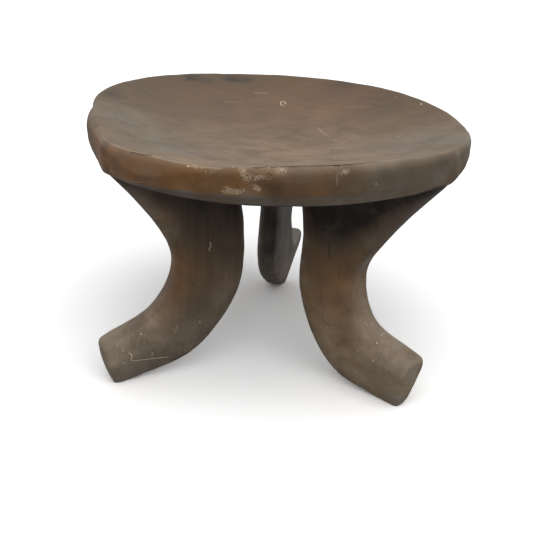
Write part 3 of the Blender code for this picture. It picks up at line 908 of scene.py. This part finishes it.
print("dark nicks:", {name: len(marks) for name, marks in DARK_NICKS.items()})

# %% [markdown]
# Each mark becomes a row of straight pieces between points of the skin. Long ones are cut first, so that they
# follow the curve of the wood and don't dive under it.

# %% Straight pieces of the marks
PIECE_PIXELS = 18


def line_runs(name, marks):
    """Start, run, half width and strength of each straight piece, of at most so many pixels."""
    runs = []
    for width, strength, *pixels in marks:
        cut = [pixels[0]]
        for first, second in zip(pixels, pixels[1:]):
            steps = max(1, math.ceil(math.dist(first, second) / PIECE_PIXELS))
            share = np.linspace(0, 1, steps + 1)[1:, None]
            cut += (np.array(first) + share * (np.array(second) - np.array(first))).tolist()
        places = [touch(skins[name], pixel) for pixel in cut]
        ends = places[1:] or places
        runs += [(start, end - start, width * MM / 2, strength) for start, end in zip(places, ends)]
    return runs


pale_runs = {name: line_runs(name, marks) for name, marks in PALE_SCRATCHES.items()}
dark_runs = {name: line_runs(name, marks) for name, marks in DARK_NICKS.items()}
print("scratch pieces:", {name: len(pale_runs[name]) + len(dark_runs[name]) for name in grids})

# %% [markdown]
# One small function adds a node with its settings and links, and one turns a colour written as sRGB hex into
# linear light. A third builds the mask of one straight piece of a scratch with them, from the distance to it:
# the nearest point on it is start + t x run, with t the share of the way along, held between 0 and 1.

# %% Node helpers
# A colour mix has its factor and its two colours at these inputs, and its result at this output
FACTOR, UNDER, OVER, MIXED = 0, 6, 7, 2


def paint(code):
    """sRGB hex to linear RGBA: x/12.92 below 0.04045, else ((x + 0.055)/1.055)^2.4."""
    values = [int(code[i:i + 2], 16) / 255 for i in (1, 3, 5)]
    linear = [v / 12.92 if v <= 0.04045 else ((v + 0.055) / 1.055) ** 2.4 for v in values]
    return (*linear, 1.0)


def add(tree, kind, inputs=None, out=0, **settings):
    """Adds one node, sets its options, links or fills its inputs, and gives the named output."""
    node = tree.nodes.new(kind)
    for key, value in settings.items():
        setattr(node, key, value)
    for key, value in (inputs or {}).items():
        if isinstance(value, bpy.types.NodeSocket):
            tree.links.new(value, node.inputs[key])
        else:
            node.inputs[key].default_value = value
    return node.outputs[out]


def scratch_mask(tree, place, start, run, half, strength):
    """Mask of one straight scratch: its strength within its half width of the line, fading out at twice."""
    away = add(tree, "ShaderNodeVectorMath", {0: place, 1: start}, operation="SUBTRACT")
    along = add(tree, "ShaderNodeVectorMath", {0: away, 1: run / max(run @ run, TINY)}, "Value",
                operation="DOT_PRODUCT")
    share = add(tree, "ShaderNodeClamp", {"Value": along})
    nearest = add(tree, "ShaderNodeVectorMath", {0: run, "Scale": share}, operation="SCALE")
    far = add(tree, "ShaderNodeVectorMath", {0: away, 1: nearest}, "Value", operation="DISTANCE")
    fade = {"From Min": half, "From Max": 2 * half, "To Min": strength, "To Max": 0.0}
    return add(tree, "ShaderNodeMapRange", {"Value": far} | fade, interpolation_type="SMOOTHSTEP")


print("white paper is", [round(value, 3) for value in paint("#ffffff")])

# %% [markdown]
# The wood is a dense brown hardwood, oiled by hands and darkened by smoke. Its fibre runs across the seat and
# down the legs, so the grain is noise stretched that way. Slower noise gives the blotches that oil leaves and
# the dents of use, and finer noise the pores and flakes. The grain, pores and flakes of such wood are finer
# than a pixel here, so they are drawn several times as coarse as they are.

# %% Patterns of the wood
SEAT_GRAIN = 1.8 * MM
LEG_GRAIN = 4.5 * MM
GRAIN_LENGTH = 70 * MM
BLOTCH = 32 * MM
FLAKE_WIDTH = 0.65 * MM
FLAKE_HEIGHT = 1.2 * MM
DENT = 9 * MM
GRAIN_NOISE = {"Scale": 1.0, "Detail": 5.0, "Roughness": 0.55}
BLOTCH_NOISE = {"Scale": 1 / BLOTCH, "Detail": 7.0, "Roughness": 0.62, "Distortion": 0.4}
FLAKE_NOISE = {"Scale": 1.0, "Detail": 3.0, "Roughness": 0.6}
DENT_NOISE = {"Scale": 1 / DENT, "Detail": 2.0}
STREAK_RANGE = {"From Min": 0.25, "From Max": 0.75}
PATCH_RANGE = {"From Min": 0.36, "From Max": 0.64}
PORE_RANGE = {"From Min": 0.26, "From Max": 0.40, "To Min": 0.38, "To Max": 0.0}
UNEVEN_RANGE = {"To Min": 0.6, "To Max": 1.4}


def wood_patterns(tree, place, fibre, grain_width):
    """Noise of grain, flakes and dents, and the masks that noise above or below a level gives: streaks of the
    grain, patches, pores, and a factor that makes a layer uneven from patch to patch."""
    grain_scale = [1 / (GRAIN_LENGTH if axis == fibre else grain_width) for axis in "XYZ"]
    grain_place = add(tree, "ShaderNodeMapping", {"Vector": place, "Scale": grain_scale})
    grain = add(tree, "ShaderNodeTexNoise", {"Vector": grain_place} | GRAIN_NOISE)
    blotch = add(tree, "ShaderNodeTexNoise", {"Vector": place} | BLOTCH_NOISE)
    flake_scale = (1 / FLAKE_WIDTH, 1 / FLAKE_WIDTH, 1 / FLAKE_HEIGHT)
    flake_place = add(tree, "ShaderNodeMapping", {"Vector": place, "Scale": flake_scale})
    flake = add(tree, "ShaderNodeTexNoise", {"Vector": flake_place} | FLAKE_NOISE)
    dent = add(tree, "ShaderNodeTexNoise", {"Vector": place} | DENT_NOISE)
    streak = add(tree, "ShaderNodeMapRange", {"Value": grain} | STREAK_RANGE)
    patch = add(tree, "ShaderNodeMapRange", {"Value": blotch} | PATCH_RANGE)
    pores = add(tree, "ShaderNodeMapRange", {"Value": flake} | PORE_RANGE)
    uneven = add(tree, "ShaderNodeMapRange", {"Value": patch} | UNEVEN_RANGE)
    return dict(grain=grain, flake=flake, dent=dent, streak=streak, patch=patch, pores=pores, uneven=uneven)


print("grain:", SEAT_GRAIN / MM, "mm wide on the seat and", LEG_GRAIN / MM, "mm on the legs")

# %% [markdown]
# Wear and painted light go over the bare wood in coats, as paint does. A coat is a mask and the name of a
# tone.
# Polish, dust with painted highlights, film with painted sheen, and soot with painted shade come from the
# layers, broken up by the patches. Mottling and pores darken all of that, and rubbed edges, some with painted
# highlights, with a thin line along the crest, let the pale wood through.

# %% Coats of wear and painted light
MOTTLE_RANGE = {"To Min": 0.20, "To Max": 0.0}
RUBBED_SHARE = 0.6
RIDGE_LINE = 0.6
RIDGE_RANGE = {"From Min": 0.3, "From Max": 1.0, "To Min": 0.6, "To Max": 0.0}


def coats_of_wear_and_light(tree, pattern, layer):
    """Pairs of a mask and a tone, in the order in which they are laid over the wood."""
    coats = []
    for key in ("polish", "dust_and_highlight", "film_and_sheen", "soot_and_shade"):
        share = add(tree, "ShaderNodeMath", {0: layer[key], 1: pattern["uneven"]}, operation="MULTIPLY",
                    use_clamp=True)
        coats.append((share, key))

    # Darker mottling, and pores as small dark flecks
    mottle = add(tree, "ShaderNodeMapRange", {"Value": pattern["patch"]} | MOTTLE_RANGE)
    shade = add(tree, "ShaderNodeMath", {0: mottle, 1: pattern["pores"]}, operation="MAXIMUM")
    coats.append((shade, "soot_and_shade"))

    # Rubbed edges and painted highlights
    rubbed = add(tree, "ShaderNodeMath", {0: layer["wear_and_painted_light"], 1: pattern["flake"]}, operation="MULTIPLY")
    rubbed = add(tree, "ShaderNodeMath", {0: rubbed, 1: RUBBED_SHARE}, operation="MULTIPLY")
    coats.append((rubbed, "wear_and_painted_light"))

    # The crest's rubbed line, by the distance from the crest in mm
    ridge = add(tree, "ShaderNodeMath", {0: layer["crest"], 1: RIDGE_LINE}, operation="SUBTRACT")
    ridge = add(tree, "ShaderNodeMath", {0: ridge}, operation="ABSOLUTE")
    ridge = add(tree, "ShaderNodeMapRange", {"Value": ridge} | RIDGE_RANGE)
    ridge = add(tree, "ShaderNodeMath", {0: ridge, 1: layer["wear_and_painted_light"]}, operation="MULTIPLY")
    ridge = add(tree, "ShaderNodeMath", {0: ridge, 1: pattern["uneven"]}, operation="MULTIPLY",
                use_clamp=True)
    coats.append((ridge, "wear_and_painted_light"))
    return coats


print("the crest's line lies", RIDGE_LINE, "mm outside the crest")

# %% [markdown]
# The marks are the last two coats. The pale one joins the scratches with the flaked scuffs, and the dark one
# joins the nicks with the pores. Both read a place that wanders a little, as a hand does, so that no line is
# quite straight.

# %% Coats of marks
FLAKED_RANGE = {"From Min": 0.41, "From Max": 0.60, "To Max": 0.55}
WANDER = 5 * MM
WANDER_NOISE = {"Scale": 1 / WANDER, "Detail": 2.0}
WANDER_MIDDLE = (0.5, 0.5, 0.5)
WANDER_DEPTH = 1.2 * MM
NICK_SHARE = 0.85


def mark_coats(tree, place, pattern, layer, piece):
    """The greatest of the masks of all pale marks, and of all dark ones, each with its tone."""
    flaked = add(tree, "ShaderNodeMath", {0: pattern["flake"], 1: layer["scuff"]}, operation="MULTIPLY")
    flaked = add(tree, "ShaderNodeMapRange", {"Value": flaked} | FLAKED_RANGE)
    swing = add(tree, "ShaderNodeTexNoise", {"Vector": place} | WANDER_NOISE, "Color")
    swing = add(tree, "ShaderNodeVectorMath", {0: swing, 1: WANDER_MIDDLE}, operation="SUBTRACT")
    swing = add(tree, "ShaderNodeVectorMath", {0: swing, "Scale": WANDER_DEPTH}, operation="SCALE")
    wandering = add(tree, "ShaderNodeVectorMath", {0: place, 1: swing}, operation="ADD")
    masks = []
    for runs, most in ((pale_runs[piece], flaked), (dark_runs[piece], pattern["pores"])):
        for run in runs:
            mask = scratch_mask(tree, wandering, *run)
            most = add(tree, "ShaderNodeMath", {0: most, 1: mask}, operation="MAXIMUM")
        masks.append(most)
    pale, dark = masks
    nicks = add(tree, "ShaderNodeMath", {0: dark, 1: NICK_SHARE}, operation="MULTIPLY")
    return [(pale, "scuff"), (nicks, "nick")]


print("marks wander by up to", WANDER_DEPTH / 2 / MM, "mm")

# %% [markdown]
# Now the finish is put together: the grain's two tones, the coats over them, a roughness that dust raises and
# polish lowers, and a bump of soft dents and fibre. An oiled wood has an index of about 1.5, and here its
# highlights are faint, because the skin is dry.

# %% Carved hardwood
SPECK_RANGE = {"From Min": 0.3, "From Max": 0.7, "To Min": 0.65, "To Max": 1.35}
ROUGHNESS_RANGE = {"To Min": 0.50, "To Max": 0.66}
POLISH_GAIN = -0.10
DENT_DEPTH = 0.5
FIBRE_DEPTH = 0.03
BUMP_STRENGTH = 0.6
WOOD_IOR = 1.5
WOOD_SPECULAR = 0.25


def carved_hardwood(name, piece, fibre, grain_width, tones):
    """Dark hardwood, adzed and rubbed: grain along a fibre direction, then coats of wear and painted light,
    and of marks.
    """
    material = bpy.data.materials.new(name)
    material.use_nodes = True
    tree = material.node_tree
    shader = tree.nodes["Principled BSDF"]
    place = add(tree, "ShaderNodeTexCoord", out="Object")
    pattern = wood_patterns(tree, place, fibre, grain_width)
    layer = {key: add(tree, "ShaderNodeAttribute", out="Fac", attribute_name=key) for key in wear_and_painted_light[piece]}

    # Dust and painted highlight lie in fine specks
    speck = add(tree, "ShaderNodeMapRange", {"Value": pattern["flake"]} | SPECK_RANGE)
    layer["dust_and_highlight"] = add(tree, "ShaderNodeMath", {0: layer["dust_and_highlight"], 1: speck}, operation="MULTIPLY")

    coats = [(pattern["streak"], "light")]
    coats += coats_of_wear_and_light(tree, pattern, layer)
    coats += mark_coats(tree, place, pattern, layer, piece)
    wood = paint(tones["dark"])
    for share, key in coats:
        wood = add(tree, "ShaderNodeMix", {FACTOR: share, UNDER: wood, OVER: paint(tones[key])}, MIXED,
                   data_type="RGBA")
    tree.links.new(wood, shader.inputs["Base Color"])

    # Dust dulls the skin and polish smooths it
    rough = add(tree, "ShaderNodeMapRange", {"Value": layer["dust_and_highlight"]} | ROUGHNESS_RANGE)
    rough = add(tree, "ShaderNodeMath", {0: layer["polish"], 1: POLISH_GAIN, 2: rough},
                operation="MULTIPLY_ADD")
    tree.links.new(rough, shader.inputs["Roughness"])

    # Height in mm: soft dents and fibre
    height = add(tree, "ShaderNodeMath", {0: pattern["dent"], 1: DENT_DEPTH}, operation="MULTIPLY")
    height = add(tree, "ShaderNodeMath", {0: pattern["grain"], 1: FIBRE_DEPTH, 2: height},
                 operation="MULTIPLY_ADD")
    bump = add(tree, "ShaderNodeBump", {"Height": height, "Strength": BUMP_STRENGTH, "Distance": MM})
    tree.links.new(bump, shader.inputs["Normal"])
    shader.inputs["IOR"].default_value = WOOD_IOR
    shader.inputs["Specular IOR Level"].default_value = WOOD_SPECULAR
    return material


smoothest = ROUGHNESS_RANGE["To Min"] + POLISH_GAIN
print("roughness:", smoothest, "where polished, to", ROUGHNESS_RANGE["To Max"], "where dusty")

# %% [markdown]
# The tones were matched. The seat is the warmest, and the legs are greyer, each in its own way: the left one
# is rubbed to a warm brown, the right one is yellower, and the rear one is nearly grey.

# %% Tones
LEG_TONES = dict(dark="#4e4234", light="#6b5c4a", polish="#82614a", dust_and_highlight="#998a79", film_and_sheen="#948a7e",
                 soot_and_shade="#1b1714", wear_and_painted_light="#93826e", scuff="#d6c6ac", nick="#17120f")
TONES = {
    "seat": dict(dark="#584531", light="#614d37", polish="#7f572f", dust_and_highlight="#8c7760", film_and_sheen="#776e61",
                 soot_and_shade="#2f2822", wear_and_painted_light="#a3907a", scuff="#cfbda5", nick="#1d1712"),
    "front_left_leg": LEG_TONES | dict(polish="#8e6541"),
    "front_right_leg": LEG_TONES | dict(dark="#5c4936", light="#7a644c", polish="#866746", dust_and_highlight="#9e8c75",
                                        soot_and_shade="#201a15"),
    "rear_leg": LEG_TONES | dict(dark="#4c4741", light="#6a645d", polish="#746a60", soot_and_shade="#1e120d"),
}
print("tones:", {name: len(set(tones.values())) for name, tones in TONES.items()})

# %% [markdown]
# Now the pieces are made and told which solid each stands for. Nothing on the stool moves, so all of them
# ride on its one body.

# %% Make the pieces
for name, grid in grids.items():
    piece = add_piece("carved_" + name, grid, wear_and_painted_light[name])
    fibre, width = ("X", SEAT_GRAIN) if name == "seat" else ("Z", LEG_GRAIN)
    wood = carved_hardwood("rubbed_hardwood_" + name, name, fibre, width, TONES[name])
    piece.data.materials.append(wood)
    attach(piece, "root")
    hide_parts(name)

# %% [markdown]
# The stool stands on a plain floor that the camera sees as white paper. To every other ray the floor is a
# mid grey, as a studio floor is, so little light comes back up and the undersides stay as dark as they are in
# life.

# %% Floor
FLOOR_SIDE = 16.0
FLOOR_GREY = 0.30
FLOOR_WHITE = 1.30


def camera_sees(tree, hidden, shown, kinds=("Is Camera Ray",)):
    """One value for the named kinds of ray and another for all the rest."""
    rays = add(tree, "ShaderNodeLightPath").node.outputs
    seen = rays[kinds[0]]
    for kind in kinds[1:]:
        seen = add(tree, "ShaderNodeMath", {0: seen, 1: rays[kind]}, operation="MAXIMUM")
    return add(tree, "ShaderNodeMapRange", {"Value": seen, "To Min": hidden, "To Max": shown})


floor_mesh = bpy.data.meshes.new("floor")
half = FLOOR_SIDE / 2
corners = [(-half, -half, 0), (half, -half, 0), (half, half, 0), (-half, half, 0)]
floor_mesh.from_pydata(corners, [], [(0, 1, 2, 3)])
floor = bpy.data.objects.new("floor", floor_mesh)
bpy.context.scene.collection.objects.link(floor)
floor_paint = bpy.data.materials.new("white_paper_sweep")
floor_paint.use_nodes = True
paper = floor_paint.node_tree
paper.nodes.remove(paper.nodes["Principled BSDF"])
matte = add(paper, "ShaderNodeBsdfDiffuse", {"Color": camera_sees(paper, FLOOR_GREY, FLOOR_WHITE)})
paper.links.new(matte, paper.nodes["Material Output"].inputs["Surface"])
floor_mesh.materials.append(floor_paint)
print("floor:", FLOOR_SIDE, "m square")

# %% [markdown]
# One soft lamp high in front throws the shadow that leans back under the seat, and the sky fills the rest, so
# that together they light a level surface at about one. The camera, and any gloss, sees the sky as white.

# %% Light
SKY_LEVEL = 0.50
WHITE_LEVEL = 1.0
LAMP_LEVEL = 1.85
LAMP_TILT = 35.0
LAMP_TURN = 12.0
LAMP_WIDTH = 56.0

lamp = bpy.data.lights.new("softbox", "SUN")
lamp.energy = LAMP_LEVEL
lamp.angle = math.radians(LAMP_WIDTH)
softbox = bpy.data.objects.new("softbox", lamp)
softbox.rotation_euler = (math.radians(LAMP_TILT), 0, math.radians(LAMP_TURN))
bpy.context.scene.collection.objects.link(softbox)

world = bpy.data.worlds.new("white_sky")
world.use_nodes = True
sky = world.node_tree
background = sky.nodes["Background"]
background.inputs["Color"].default_value = paint("#ffffff")
shown_to = ("Is Camera Ray", "Is Glossy Ray", "Is Transmission Ray")
sky.links.new(camera_sees(sky, SKY_LEVEL, WHITE_LEVEL, shown_to), background.inputs["Strength"])
bpy.context.scene.world = world
bpy.context.scene.view_settings.view_transform = "Standard"
level_light = SKY_LEVEL + LAMP_LEVEL * math.cos(math.radians(LAMP_TILT)) / math.pi
print("light on a level surface:", round(level_light, 2))
